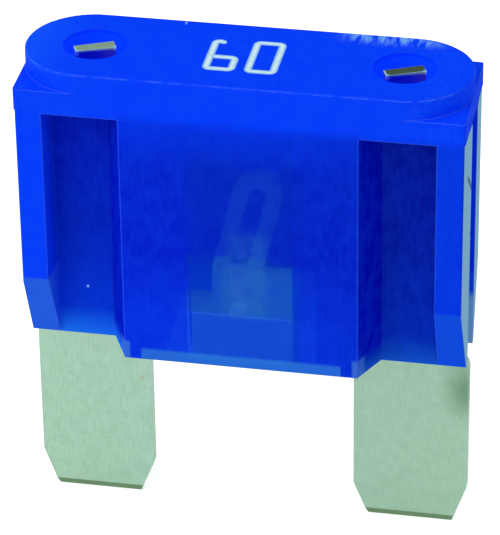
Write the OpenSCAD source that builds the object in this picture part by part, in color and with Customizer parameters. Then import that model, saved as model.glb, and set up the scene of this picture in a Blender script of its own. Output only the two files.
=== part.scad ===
// High-current blade fuse: a moulded housing with a stamped metal element inside it.
// X runs along the two blades, the front faces -Y, and the blade tips stand on Z = 0.

/* [Blades] */
// Width of one blade
blade_w = 7.7; // [7:0.1:8.2]
// Thickness of the sheet that the element is stamped from
blade_t = 0.8; // [0.6:0.05:1.2]
// How far the blades' outer edges stand past the ends of the housing
blade_proud = 0.05; // [0:0.01:0.2]
// Free length of a blade below the housing
blade_len = 13.4; // [10:0.1:18]
// Width that each tip corner loses
tip_cut_w = 1.0; // [0.4:0.1:2]
// Height over which the outer tip corner is cut
tip_cut_out_h = 2.9; // [1:0.1:4]
// Height over which the inner tip corner is cut
tip_cut_in_h = 2.5; // [1:0.1:4]
// Depth of the lead-in bevel on each face of a tip
tip_bevel_t = 0.22; // [0.1:0.01:0.28]
// Height of the lead-in bevel
tip_bevel_h = 0.5; // [0.2:0.1:1.2]
// Radius of the outer shoulder under the housing
shoulder_r = 1.1; // [0.4:0.1:1.4]
// Width of the outer shoulder, from the blade's edge in to the shank
shoulder_w = 1.5; // [1.2:0.1:1.8]

/* [Housing] */
// Length of the housing across both blades
housing_w = 29.1; // [28.6:0.1:32]
// Depth of the housing from front to back
housing_d = 8.5; // [7.6:0.1:10]
// Height of the housing above the blades
housing_h = 20.9; // [19:0.1:26]
// Radius of the four upright outer edges
corner_r = 0.2; // [0.1:0.05:0.6]
// Height of the raised crown with round ends
crown_h = 1.4; // [0.8:0.1:2]
// Radius round the top edge of the crown
crown_edge_r = 0.15; // [0.1:0.05:0.6]
// Height of the lip under the crown
lip_h = 1.5; // [0.8:0.1:1.8]
// How far the lip stands proud of the end faces
lip_proud = 0.06; // [0.05:0.01:0.3]
// How far each end face swells out from its corners to the middle, where the mould parts
end_swell = 0.15; // [0.05:0.05:0.3]

/* [Recesses] */
// Depth of the four finger recesses, from the front or back face
recess_depth = 2.5; // [1.8:0.1:2.8]
// Distance from the top of the crown to the top of a recess
recess_top = 3.05; // [3:0.05:4]
// Width of the flange at its outer edge
flange_w = 1.75; // [1.2:0.05:2.5]
// How much wider the flange is at the floor of its recess
flange_draft = 0.05; // [0:0.05:0.6]
// Height of the slanted cut at the foot of each flange
flange_cut_h = 5.5; // [2:0.1:8]
// Width of the middle block at its front face
block_w = 15.5; // [14.6:0.1:16]
// How far the side of the block slants out down to the recess floor
block_slant = 1.2; // [0.4:0.1:1.8]

/* [End grooves] */
// Width of the upright groove in each end face
groove_w = 2.5; // [1.5:0.1:2.8]
// Depth of the upright groove, from the corners of the end face
groove_depth = 0.6; // [0.3:0.05:0.65]

/* [Wells] */
// Radius of a well
well_r = 2.05; // [1.6:0.05:2.4]
// Depth of a well below the crown
well_depth = 1.2; // [1:0.1:1.6]

/* [Link chamber] */
// Width of the hollow that holds the fusible link
chamber_w = 10.1; // [8:0.1:11]
// Thickness of the front and back walls of the chamber
chamber_wall = 1.3; // [1:0.05:1.8]
// Distance from the top of the crown to the roof of the chamber
chamber_roof = 3.4; // [2.4:0.1:5]
// Width of the thinner window in each wall
window_w = 7.0; // [4:0.1:8]
// Thickness of the wall at the window
window_wall = 0.8; // [0.6:0.05:0.95]
// Width of the wider mouth at the foot of the chamber
mouth_w = 13.3; // [12:0.1:13.6]
// Height of the mouth
mouth_h = 0.8; // [0.4:0.1:1.4]
// Thickness of the wall round the mouth
mouth_wall = 0.6; // [0.4:0.05:0.75]

/* [Element inside the housing] */
// Height of a shank, the part of a blade that is held in the housing
shank_h = 16.1; // [12:0.1:16.5]
// How far a locking tab sits inside the centre line of its blade
tab_inset = 0.7; // [0:0.1:1]
// Width of a locking tab
tab_w = 2.65; // [2:0.05:2.9]
// Angle that a tab is twisted by, from the floor of its well to its top, to lock the element
tab_twist = 24; // [10:1:35]
// How far a tab ends below the crown
tab_drop = 0.15; // [0:0.05:0.4]

/* [Fusible link] */
// Width of the link strip
link_w = 1.1; // [0.7:0.05:1.4]
// Clear gap between the two legs of the link
link_gap = 1.2; // [0.8:0.1:2]
// Height of the link's lowest edge above the foot of the housing
link_foot_z = 1.6; // [1.5:0.1:3]
// Height of the left foot, a strip to the left shank
left_foot_h = 1.2; // [0.8:0.1:2]
// Height of the right foot, a wider strip to the right shank
right_foot_h = 3.5; // [2:0.1:4]
// Height of the link's arch above the foot of the housing
link_top_z = 12.5; // [10:0.1:14]
// Distance of the legs' middle from the fuse's middle, at the feet
link_shift = -0.9; // [-1.5:0.1:0]
// How far the arch leans past the legs' foot
link_lean = 1.4; // [0:0.1:2]

/* [Fits] */
// Clearance on each side of the sheet in its slots
slot_play = 0.05; // [0.02:0.01:0.15]

/* [Hidden] */
$fn = 64;
// Overshoot that keeps cutting faces apart from the faces they cut
over = 0.5;
// Steps that make up the twist of a tab
twist_steps = 6;
foot_z = blade_len;
crown_z = foot_z + housing_h;
ear_z = crown_z - crown_h;
lip_z = ear_z - lip_h;
recess_z = crown_z - recess_top;
body_w = housing_w - 2 * lip_proud;
face_y = housing_d / 2;
web_y = face_y - recess_depth;
block_x = block_w / 2;
block_floor_x = block_x + block_slant;
flange_x = body_w / 2 - flange_w;
flange_floor_x = flange_x - flange_draft;
chamber_y = face_y - chamber_wall;
chamber_h = housing_h - chamber_roof;
window_y = face_y - window_wall;
mouth_y = face_y - mouth_wall;
slot_y = blade_t / 2 + slot_play;
blade_out_x = housing_w / 2 + blade_proud;
blade_in_x = blade_out_x - blade_w;
shank_out_x = blade_out_x - shoulder_w;
shank_z = foot_z + shank_h;
tab_x = (blade_in_x + blade_out_x) / 2 - tab_inset;
well_z = crown_z - well_depth;
link_leg_z = foot_z + link_foot_z + right_foot_h;
arch_r = link_gap / 2 + link_w;
arch_z = foot_z + link_top_z - arch_r;

// A rectangle with round corners, made of squares and true circles
module rounded_rect(w, d, r) {
  square([w - 2 * r, d], center = true);
  square([w, d - 2 * r], center = true);
  for (x = [-1, 1], y = [-1, 1])
    translate([x * (w / 2 - r), y * (d / 2 - r)]) circle(r);
}

// Outline of the body under the lip, with its end faces drafted both ways from the middle
module body_outline() {
  straight_y = face_y - corner_r;
  rounded_rect(body_w, housing_d, corner_r);
  polygon([
    [body_w / 2, -straight_y],
    [body_w / 2 + end_swell, 0],
    [body_w / 2, straight_y],
    [-body_w / 2, straight_y],
    [-body_w / 2 - end_swell, 0],
    [-body_w / 2, -straight_y]
  ]);
}

// Half the section of the crown, from its middle out, with its rounded top edge
module crown_half_section() {
  square([face_y, crown_h - crown_edge_r]);
  square([face_y - crown_edge_r, crown_h]);
  translate([face_y - crown_edge_r, crown_h - crown_edge_r]) circle(crown_edge_r);
}

// The raised crown: round ends turned about their axes, and a straight run between them
module crown() {
  end_x = housing_w / 2 - face_y;
  translate([0, 0, ear_z]) {
    for (side = [-1, 1])
      translate([side * end_x, 0, 0])
        rotate_extrude() crown_half_section();
    translate([-end_x, 0, 0]) rotate([90, 0, 90]) linear_extrude(2 * end_x) {
      crown_half_section();
      mirror([1, 0]) crown_half_section();
    }
  }
}

// Plan of one recess in front on the right, between the block and the flange.
// It reaches past the front face along the same slants.
module recess_plan() {
  slope_block = block_slant / recess_depth;
  slope_flange = flange_draft / recess_depth;
  polygon([
    [block_floor_x, -web_y],
    [flange_floor_x, -web_y],
    [flange_x + slope_flange * over, -face_y - over],
    [block_x - slope_block * over, -face_y - over]
  ]);
}

// The slanted cut at the foot of the front flanges, drawn across the depth
module flange_cut() {
  slope = flange_cut_h / recess_depth;
  translate([block_floor_x, 0, foot_z]) rotate([90, 0, 90])
    linear_extrude(housing_w / 2) polygon([
      [-web_y, 0],
      [-face_y - over, flange_cut_h + slope * over],
      [-face_y - over, -over],
      [-web_y, -over]
    ]);
}

// What is moulded away on one of the four corners
module corner_cuts() {
  translate([0, 0, foot_z - over])
    linear_extrude(recess_z - foot_z + over) recess_plan();
  flange_cut();
}

// Repeats a front right shape on all four corners
module four_corners() {
  for (x = [0, 1], y = [0, 1]) mirror([x, 0, 0]) mirror([0, y, 0]) children();
}

// The upright groove in each end face, under the lip
module end_grooves() {
  for (side = [0, 1]) mirror([side, 0, 0])
    translate([body_w / 2 - groove_depth, -groove_w / 2, foot_z - over])
      cube([groove_depth + over, groove_w, lip_z - foot_z + over]);
}

// The hollow round the link, with its windows and its wider mouth
module link_chamber() {
  translate([-chamber_w / 2, -chamber_y, foot_z - over])
    cube([chamber_w, 2 * chamber_y, chamber_h + over]);
  translate([-window_w / 2, -window_y, foot_z - over])
    cube([window_w, 2 * window_y, chamber_h + over]);
  translate([-mouth_w / 2, -mouth_y, foot_z - over])
    cube([mouth_w, 2 * mouth_y, mouth_h + over]);
}

// The narrow slots that hold the shanks and let the tabs through
module element_slots() {
  slot_x = shank_out_x + slot_play;
  translate([-slot_x, -slot_y, foot_z - over])
    cube([2 * slot_x, 2 * slot_y, shank_h + slot_play + over]);
  for (side = [-1, 1])
    translate([side * tab_x - tab_w / 2 - slot_play, -slot_y, shank_z - over])
      cube([tab_w + 2 * slot_play, 2 * slot_y, well_z - shank_z + 2 * over]);
}

// The round wells that the tabs end in
module wells() {
  for (side = [-1, 1])
    translate([side * tab_x, 0, well_z]) cylinder(h = well_depth + over, r = well_r);
}

// One-piece moulded housing
module housing() {
  color("royalblue") difference() {
    union() {
      translate([0, 0, foot_z]) linear_extrude(lip_z - foot_z) body_outline();
      translate([0, 0, lip_z]) linear_extrude(lip_h)
        rounded_rect(housing_w, housing_d, corner_r);
      crown();
    }
    four_corners() corner_cuts();
    end_grooves();
    link_chamber();
    element_slots();
    wells();
  }
}

// Outline of the right blade with its shank, seen from the front
module blade_outline() {
  polygon([
    [blade_in_x + tip_cut_w, 0],
    [blade_out_x - tip_cut_w, 0],
    [blade_out_x, tip_cut_out_h],
    [blade_out_x, foot_z - shoulder_r],
    [blade_out_x - shoulder_r, foot_z - shoulder_r],
    [blade_out_x - shoulder_r, foot_z],
    [shank_out_x, foot_z],
    [shank_out_x, shank_z],
    [blade_in_x, shank_z],
    [blade_in_x, tip_cut_in_h]
  ]);
  translate([blade_out_x - shoulder_r, foot_z - shoulder_r]) intersection() {
    circle(shoulder_r);
    square(shoulder_r);
  }
}

// Outline of one leg of the link: upright at its foot, then leaning towards the arch
module leg_outline(x) {
  polygon([
    [x, foot_z + link_foot_z],
    [x + link_w, foot_z + link_foot_z],
    [x + link_w, link_leg_z],
    [x + link_w + link_lean, arch_z],
    [x + link_lean, arch_z],
    [x, link_leg_z]
  ]);
}

// Outline of the fusible link with its two feet
module link_outline() {
  foot = foot_z + link_foot_z;
  left_leg_x = link_shift - arch_r;
  right_leg_x = link_shift + link_gap / 2;
  leg_outline(left_leg_x);
  leg_outline(right_leg_x);
  translate([link_shift + link_lean, arch_z]) difference() {
    circle(arch_r);
    circle(link_gap / 2);
    translate([-arch_r - over, -arch_r - over]) square([2 * (arch_r + over), arch_r + over]);
  }
  translate([-blade_in_x - over, foot])
    square([left_leg_x + link_w + blade_in_x + over, left_foot_h]);
  translate([right_leg_x, foot])
    square([blade_in_x + over - right_leg_x, right_foot_h]);
}

// The bevels that thin one blade's tip on both faces
module tip_bevels() {
  slope = tip_bevel_t / tip_bevel_h;
  for (side = [0, 1]) mirror([0, side, 0])
    translate([blade_in_x - over, 0, 0]) rotate([90, 0, 90])
      linear_extrude(blade_w + 2 * over) polygon([
        [-blade_t / 2, tip_bevel_h],
        [-blade_t / 2 - over, tip_bevel_h],
        [-blade_t / 2 - over, -over],
        [-blade_t / 2 + tip_bevel_t + slope * over, -over]
      ]);
}

// One locking tab: a straight neck up from the shank, then the twisted top in its well
module locking_tab() {
  neck_h = well_z - shank_z + over;
  top_h = crown_z - tab_drop - well_z;
  translate([0, 0, well_z]) {
    mirror([0, 0, 1]) linear_extrude(neck_h) square([tab_w, blade_t], center = true);
    linear_extrude(top_h, twist = -tab_twist, slices = twist_steps, $fn = 8)
      square([tab_w, blade_t], center = true);
  }
}

// One-piece stamped element: two blades, two shanks with locking tabs, and the link
module fuse_element() {
  color("darkseagreen") {
    difference() {
      translate([0, blade_t / 2, 0]) rotate([90, 0, 0]) linear_extrude(blade_t) {
        for (side = [0, 1]) mirror([side, 0]) blade_outline();
        link_outline();
      }
      for (side = [0, 1]) mirror([side, 0, 0]) tip_bevels();
    }
    for (side = [-1, 1]) translate([side * tab_x, 0, 0]) locking_tab();
  }
}

housing();
fuse_element();
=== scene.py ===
# %% [markdown]
# # A blade fuse, dressed for its portrait
# The fuse is two real pieces: a moulded housing of translucent blue plastic, and one strip of
# tin-plated zinc with two blades, two locking tabs and the fusible link between them. Their solids
# come ready, true to size. This file gives them their finishes, prints the rating number on the
# crown, sets the fuse on a white table and puts the camera where the photographer stood.

# %% Load the solids
import math
import bmesh
import bpy
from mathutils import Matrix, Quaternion, Vector


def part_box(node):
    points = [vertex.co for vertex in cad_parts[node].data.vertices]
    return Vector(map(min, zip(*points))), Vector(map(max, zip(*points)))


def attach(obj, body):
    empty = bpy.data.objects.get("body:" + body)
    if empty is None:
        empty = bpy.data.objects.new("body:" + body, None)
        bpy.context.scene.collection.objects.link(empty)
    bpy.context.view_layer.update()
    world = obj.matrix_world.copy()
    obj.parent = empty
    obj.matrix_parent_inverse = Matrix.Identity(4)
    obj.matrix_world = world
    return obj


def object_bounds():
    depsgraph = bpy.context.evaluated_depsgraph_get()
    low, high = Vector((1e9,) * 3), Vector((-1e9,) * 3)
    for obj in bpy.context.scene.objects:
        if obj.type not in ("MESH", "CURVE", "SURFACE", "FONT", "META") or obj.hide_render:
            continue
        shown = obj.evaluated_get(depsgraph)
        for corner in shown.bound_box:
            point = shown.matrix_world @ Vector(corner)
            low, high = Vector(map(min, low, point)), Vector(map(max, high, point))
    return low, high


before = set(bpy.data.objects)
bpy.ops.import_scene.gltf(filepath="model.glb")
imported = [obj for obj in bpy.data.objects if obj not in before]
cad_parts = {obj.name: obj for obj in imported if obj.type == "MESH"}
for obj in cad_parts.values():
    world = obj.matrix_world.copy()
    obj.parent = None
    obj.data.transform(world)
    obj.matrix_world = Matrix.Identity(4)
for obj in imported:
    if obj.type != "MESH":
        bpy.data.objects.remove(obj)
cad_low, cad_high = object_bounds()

MM = 0.001
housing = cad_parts["housing"]
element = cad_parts["fuse_element"]
size_mm = (cad_high - cad_low) / MM
print(f"the fuse is {size_mm.x:.1f} x {size_mm.y:.1f} x {size_mm.z:.1f} mm")

# %% [markdown]
# ## Levels that the finishes follow
# A finish changes where the form changes: under the lip, in the recesses, at the foot. The outer
# levels are measured from the solids, and the rest are the housing's own dimensions, all in
# millimetres, so that each finish stays on its feature.

# %% Landmarks of the form, in millimetres
housing_low, housing_high = (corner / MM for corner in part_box("housing"))
FOOT_Z = housing_low.z
CROWN_Z = housing_high.z
FACE_Y = housing_high.y
END_X = 14.49
EAR_Z = CROWN_Z - 1.4
LIP_Z = EAR_Z - 1.5
RECESS_TOP_Z = CROWN_Z - 3.05
WEB_Y = FACE_Y - 2.5
BLOCK_HALF = 7.75
BLOCK_SLANT = 1.2
FLANGE_IN = 12.7
FLANGE_CUT_Z = FOOT_Z + 5.5
CHAMBER_HALF = 5.05
CHAMBER_ROOF_Z = CROWN_Z - 3.4
WINDOW_HALF = 3.5
MOUTH_HALF = 6.65
MOUTH_H = 0.8
WELL_X = 10.05
WELL_R = 2.05
WELL_Z = CROWN_Z - 1.2
BODY_MIDDLE_Z = (FOOT_Z + LIP_Z) / 2
BODY_HALF_H = (LIP_Z - FOOT_Z) / 2
CHAMBER_MIDDLE_Z = (FOOT_Z + CHAMBER_ROOF_Z) / 2
CHAMBER_HALF_H = (CHAMBER_ROOF_Z - FOOT_Z) / 2
print(f"housing from z {FOOT_Z:.1f} up to {CROWN_Z:.2f}, with its faces at y {FACE_Y:.2f}")

# %% [markdown]
# ## The camera
# The photographer looked down on the front, a little from the right, through a long lens. Such a
# camera can be turned by eye, but here its place was worked out from corners of the housing that
# can be found both in the picture and in the solids, which fixes angle, distance and lens at once.
# The picture is 500 points wide and 535 tall, and the sensor's size goes with its longer side.

# %% Place the camera
PICTURE_H = 535
FOCAL_POINTS = 3685.6
SENSOR_MM = 36
AZIMUTH = math.radians(11.09)
ELEVATION = math.radians(31.267)
ROLL = math.radians(-0.795)
DISTANCE = 0.24285
AIM = Vector((-0.11, 0, 18.547)) * MM
CLIP_NEAR = 0.01
CLIP_FAR = 20

towards_camera = Vector((
    math.sin(AZIMUTH) * math.cos(ELEVATION),
    -math.cos(AZIMUTH) * math.cos(ELEVATION),
    math.sin(ELEVATION),
))
camera_data = bpy.data.cameras.new("portrait_camera")
camera_data.sensor_width = SENSOR_MM
camera_data.lens = FOCAL_POINTS / PICTURE_H * SENSOR_MM
camera_data.clip_start = CLIP_NEAR
camera_data.clip_end = CLIP_FAR
camera = bpy.data.objects.new("portrait_camera", camera_data)
camera.location = AIM + towards_camera * DISTANCE
level_look = (-towards_camera).to_track_quat("-Z", "Y")
camera.rotation_mode = "QUATERNION"
camera.rotation_quaternion = level_look @ Quaternion((0, 0, 1), ROLL)
bpy.context.scene.collection.objects.link(camera)
bpy.context.scene.camera = camera
print(f"a {camera_data.lens:.0f} mm lens, {DISTANCE / MM:.0f} mm away")

# %% [markdown]
# ## Helpers for shader nodes
# A material is a tree of nodes. Building one by hand in the editor is quick, but a script that
# makes many nodes needs a short way to add one with its settings and its inputs. `add` does that:
# an input is given a value, or another node's output, which is then linked. The others make and
# place a node group, do one sum, join masks, lay one colour over another, and start an empty
# material.

# %% Helpers for node trees
def feed(tree, socket, value):
    """Gives a socket a value, or links another node's output to it."""
    if isinstance(value, bpy.types.NodeSocket):
        tree.links.new(value, socket)
    else:
        socket.default_value = value


def add(tree, kind, inputs=None, **settings):
    """Adds one node. settings are its own properties, inputs its sockets by name or number."""
    node = tree.nodes.new("ShaderNode" + kind)
    for name, value in settings.items():
        setattr(node, name, value)
    for name, value in (inputs or {}).items():
        feed(tree, node.inputs[name], value)
    return node


def new_group(name, takes, gives):
    """Starts a node group. It takes (name, kind, default) inputs and gives (name, kind) outputs."""
    tree = bpy.data.node_groups.new(name, "ShaderNodeTree")
    for label, kind, default in takes:
        socket = tree.interface.new_socket(label, in_out="INPUT", socket_type="NodeSocket" + kind)
        socket.default_value = default
    for label, kind in gives:
        tree.interface.new_socket(label, in_out="OUTPUT", socket_type="NodeSocket" + kind)
    start = tree.nodes.new("NodeGroupInput")
    end = tree.nodes.new("NodeGroupOutput")
    return tree, start.outputs, end.inputs


def use_group(tree, group, **inputs):
    """Places a group in a material. An input's name is given with _ for each space."""
    node = tree.nodes.new("ShaderNodeGroup")
    node.node_tree = group
    for name, value in inputs.items():
        feed(tree, node.inputs[name.replace("_", " ")], value)
    return node.outputs


def maths(tree, operation, a, b=0.0):
    """One Math node, and its result."""
    return add(tree, "Math", {0: a, 1: b}, operation=operation).outputs[0]


def vector_maths(tree, operation, a, b=(0, 0, 0)):
    """One Vector Math node, and its result."""
    return add(tree, "VectorMath", {0: a, 1: b}, operation=operation).outputs[0]


def rise(tree, value, start, full, soft=True):
    """Goes from nothing to one as a value goes from start to full, softly or straight."""
    return add(tree, "MapRange", {"Value": value, "From Min": start, "From Max": full},
               interpolation_type="SMOOTHSTEP" if soft else "LINEAR").outputs[0]


def times(tree, first, *others):
    """Multiplies masks with each other."""
    for other in others:
        first = maths(tree, "MULTIPLY", first, other)
    return first


def either(tree, first, second):
    """Joins two masks: the stronger one at each place."""
    return maths(tree, "MAXIMUM", first, second)


def outside(tree, mask):
    """Turns a mask round: one where it was nothing."""
    return maths(tree, "SUBTRACT", 1.0, mask)


def blend(tree, share, first, second):
    """Mixes two colours, and gives the result."""
    return add(tree, "Mix", {0: share, 6: first, 7: second}, data_type="RGBA").outputs[2]


def lay_over(tree, colour, cover, *masks):
    """Lays a second colour over the first where all masks agree. A number among them thins it."""
    return blend(tree, times(tree, *masks), colour, cover)


def new_material(name):
    """An empty material and its tree, with the output node's surface socket."""
    material = bpy.data.materials.new(name)
    material.use_nodes = True
    material.node_tree.nodes.clear()
    output = material.node_tree.nodes.new("ShaderNodeOutputMaterial")
    return material, material.node_tree, output.inputs["Surface"]


def swatch(red, green, blue):
    """A colour as it looks on screen, in 0 to 255, turned into the linear light that nodes use."""
    def linear(value):
        value /= 255
        return value / 12.92 if value <= 0.04045 else ((value + 0.055) / 1.055) ** 2.4
    return linear(red), linear(green), linear(blue), 1.0


print("helpers ready")

# %% [markdown]
# ## Shared effect: place in millimetres
# Every effect below needs to know where on the fuse it is. The Object coordinate gives that in
# metres. This group turns it into the part's own millimetres, and also gives it folded, with the
# left half laid over the right, because most features come in mirrored pairs.

# %% Node group: part millimetres
position_group, _, position_out = new_group(
    "Part millimetres", [], [("Position", "Vector"), ("Folded", "Vector")])
object_place = add(position_group, "TexCoord").outputs["Object"]
in_mm = add(position_group, "VectorMath", {0: object_place, "Scale": 1 / MM},
            operation="SCALE").outputs[0]
position_group.links.new(in_mm, position_out["Position"])
unfolded = add(position_group, "SeparateXYZ", {0: in_mm}).outputs
folded = add(position_group, "CombineXYZ", {
    0: maths(position_group, "ABSOLUTE", unfolded[0]), 1: unfolded[1], 2: unfolded[2]})
position_group.links.new(folded.outputs[0], position_out["Folded"])
print("places are in millimetres")

# %% [markdown]
# ## Shared effect: a soft-edged zone
# Translucent plastic looks different over a hollow than over solid stock, and a scuff sits in one
# spot only. All of these need the same thing: a mask that is one inside a box and fades to nothing
# at its faces. It could be painted on an image, but a box in the part's own millimetres needs no
# unwrapping, and it stays on its feature from every side. The group is built once and placed
# wherever such a zone is wanted. Along each axis a zone is written as its middle, half its size and
# the width of its fade, and an axis that isn't named reaches past the fuse on both sides.

# %% Node group: soft zone
zone_group, zone_in, zone_out = new_group(
    "Soft zone",
    [("Position", "Vector", (0, 0, 0)), ("Centre", "Vector", (0, 0, 0)),
     ("Half Size", "Vector", (1, 1, 1)), ("Fade", "Vector", (0.2, 0.2, 0.2))],
    [("Mask", "Float")])
from_centre = vector_maths(zone_group, "SUBTRACT", zone_in["Position"], zone_in["Centre"])
distance_out = vector_maths(zone_group, "ABSOLUTE", from_centre)
past_face = vector_maths(zone_group, "SUBTRACT", distance_out, zone_in["Half Size"])
in_fades = vector_maths(zone_group, "DIVIDE", past_face, zone_in["Fade"])
fade_split = add(zone_group, "SeparateXYZ", {0: in_fades}).outputs
side_masks = [rise(zone_group, fade_split[axis], 0.5, -0.5) for axis in range(3)]
zone_group.links.new(times(zone_group, *side_masks), zone_out["Mask"])


EVERYWHERE = (0, 99, 1)


def zone(tree, place, x=EVERYWHERE, y=EVERYWHERE, z=EVERYWHERE):
    """A soft box in a material. Along each axis it has a middle, half its size and a fade."""
    centre, half, fade = zip(x, y, z)
    return use_group(tree, zone_group, Position=place, Centre=centre, Half_Size=half,
                     Fade=fade)["Mask"]


print("soft zone group:", len(zone_group.nodes), "nodes")

# %% [markdown]
# ## Shared effect: mottle
# Nothing that was moulded, plated or printed is quite even. Plastic has faint clouds from its flow,
# tin has a blotchy bloom, and ink lies thick and thin. One group gives such clouds: noise, pushed
# apart by a contrast. Each material sets how many clouds there are to a millimetre.

# %% Node group: mottle
mottle_group, mottle_in, mottle_out = new_group(
    "Mottle",
    [("Position", "Vector", (0, 0, 0)), ("Scale", "Float", 1.0), ("Detail", "Float", 3.0),
     ("Low", "Float", 0.35), ("High", "Float", 0.65)],
    [("Mask", "Float")])
cloud = add(mottle_group, "TexNoise", {
    "Vector": mottle_in["Position"], "Scale": mottle_in["Scale"], "Detail": mottle_in["Detail"],
    "Roughness": 0.6,
}).outputs["Fac"]
pushed = rise(mottle_group, cloud, mottle_in["Low"], mottle_in["High"])
mottle_group.links.new(pushed, mottle_out["Mask"])


def clouds(tree, place, **settings):
    """Faint clouds in a material. The settings are the group's other inputs."""
    return use_group(tree, mottle_group, Position=place, **settings)["Mask"]


print("mottle group ready")

# %% [markdown]
# ## Shared effect: drawn streaks
# Rolled strip carries fine lines along the way it was rolled, and plastic that has been handled
# carries fine scratches. Both are noise that is squeezed hard across the lines and stretched along
# them. The group takes how many lines there are to a millimetre each way, and gives a mask that
# also serves as height.

# %% Node group: drawn streaks
streak_group, streak_in, streak_out = new_group(
    "Drawn streaks",
    [("Position", "Vector", (0, 0, 0)), ("Lines Per mm", "Vector", (8.0, 8.0, 0.4)),
     ("Low", "Float", 0.4), ("High", "Float", 0.6)],
    [("Mask", "Float")])
squeezed = vector_maths(streak_group, "MULTIPLY", streak_in["Position"], streak_in["Lines Per mm"])
lines = add(streak_group, "TexNoise", {
    "Vector": squeezed, "Scale": 1.0, "Detail": 2.0}).outputs["Fac"]
clear_lines = rise(streak_group, lines, streak_in["Low"], streak_in["High"], soft=False)
streak_group.links.new(clear_lines, streak_out["Mask"])


def streaks(tree, place, **settings):
    """Drawn streaks in a material. The settings are the group's other inputs."""
    return use_group(tree, streak_group, Position=place, **settings)["Mask"]


print("streak group ready")

# %% [markdown]
# ## Shared effect: one mark
# A used fuse has a few marks of its own: a scratch on its end, a nick, a speck of dirt. Each is a
# short straight stroke with soft sides. The group measures how far a point is from the line between
# two ends. A speck is a stroke whose two ends fall together.

# %% Node group: one mark
mark_group, mark_in, mark_out = new_group(
    "One mark",
    [("Position", "Vector", (0, 0, 0)), ("Start", "Vector", (0, 0, 0)),
     ("End", "Vector", (0, 0, 1)), ("Half Width", "Float", 0.1)],
    [("Mask", "Float")])
run = vector_maths(mark_group, "SUBTRACT", mark_in["End"], mark_in["Start"])
reach = vector_maths(mark_group, "SUBTRACT", mark_in["Position"], mark_in["Start"])
reach_along = add(mark_group, "VectorMath", {0: reach, 1: run}, operation="DOT_PRODUCT")
run_squared = add(mark_group, "VectorMath", {0: run, 1: run}, operation="DOT_PRODUCT")
share = add(mark_group, "Math", {
    0: reach_along.outputs["Value"], 1: run_squared.outputs["Value"],
}, operation="DIVIDE", use_clamp=True).outputs[0]
nearest = add(mark_group, "VectorMath", {0: run, "Scale": share}, operation="SCALE").outputs[0]
away = add(mark_group, "VectorMath", {0: reach, 1: nearest}, operation="DISTANCE").outputs["Value"]
stroke = rise(mark_group, away, mark_in["Half Width"], 0.0)
mark_group.links.new(stroke, mark_out["Mask"])


def mark(tree, place, start, end, half_width):
    """One stroke in a material, between two points."""
    return use_group(tree, mark_group, Position=place, Start=start, End=end,
                     Half_Width=half_width)["Mask"]


print("mark group ready")

# %% [markdown]
# ## Shared effect: a rounded edge and its highlight
# Moulded and stamped edges are never razor sharp, and they catch light as a thin line. The corners
# could be rounded in the mesh, but the Bevel node rounds only the way light falls on them, which
# keeps the solids as they are. The group also gives a mask of the edges: it is where the rounded
# direction parts from the flat one. Both materials use it to paint a pale highlight along the
# edges.

# %% Node group: rounded edge
edge_group, edge_in, edge_out = new_group(
    "Rounded edge",
    [("Radius", "Float", 0.1 * MM), ("Low", "Float", 0.01), ("High", "Float", 0.12)],
    [("Normal", "Vector"), ("Mask", "Float")])
rounded = add(edge_group, "Bevel", {"Radius": edge_in["Radius"]}, samples=6).outputs[0]
flat = add(edge_group, "NewGeometry").outputs["Normal"]
agreement = add(edge_group, "VectorMath", {0: rounded, 1: flat}, operation="DOT_PRODUCT")
edge_mask = rise(edge_group, outside(edge_group, agreement.outputs["Value"]),
                 edge_in["Low"], edge_in["High"], soft=False)
edge_group.links.new(rounded, edge_out["Normal"])
edge_group.links.new(edge_mask, edge_out["Mask"])
print("edge group ready")

# %% [markdown]
# ## The housing's plastic: colour by depth
# The housing is moulded in a clear blue resin. Where it is thick and lit from all sides it glows,
# in the recesses it goes dark and pure blue, and at the foot, where light from the table climbs
# into it, it turns paler. A real volume inside the plastic would do all of this at once, but it is
# slow and grainy. Here the surface is a plain plastic, and this glow, the recesses' shade and the
# pale foot are painted light and shade in its colour, which follows the height over the foot, once
# for the block in the middle and once for the recesses. Each has a colour ramp.

# %% Colours by height
HEAD_BLUE = swatch(4, 60, 250)
BLOCK_TOP = swatch(2, 46, 230)
BLOCK_UPPER = swatch(2, 34, 204)
BLOCK_MIDDLE = swatch(2, 28, 204)
BLOCK_LOW = swatch(3, 46, 226)
RECESS_TOP = swatch(1, 22, 190)
RECESS_UPPER = swatch(1, 29, 194)
RECESS_MIDDLE = swatch(1, 35, 192)
RECESS_LOW = swatch(2, 52, 216)
RECESS_FOOT = swatch(26, 114, 238)


def colour_by_height(tree, height, stops):
    """A colour ramp over the height, from (height in millimetres, colour) stops, lowest first."""
    low, high = stops[0][0], stops[-1][0]
    ramp = add(tree, "ValToRGB", {0: rise(tree, height, low, high, soft=False)})
    for level, colour in stops[1:-1]:
        ramp.color_ramp.elements.new((level - low) / (high - low)).color = colour
    ramp.color_ramp.elements[0].color = stops[0][1]
    ramp.color_ramp.elements[len(stops) - 1].color = stops[-1][1]
    return ramp.outputs[0]


print("colours by height ready")

# %% [markdown]
# ## The housing's plastic: block and recesses
# The block stands out in the middle of each broad face, with a recess on either side. Their faces
# could be picked and given materials of their own, but then the colour would jump at each edge,
# while light in clear resin fades. Soft zones lay the two ramps over the head's blue.

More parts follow.
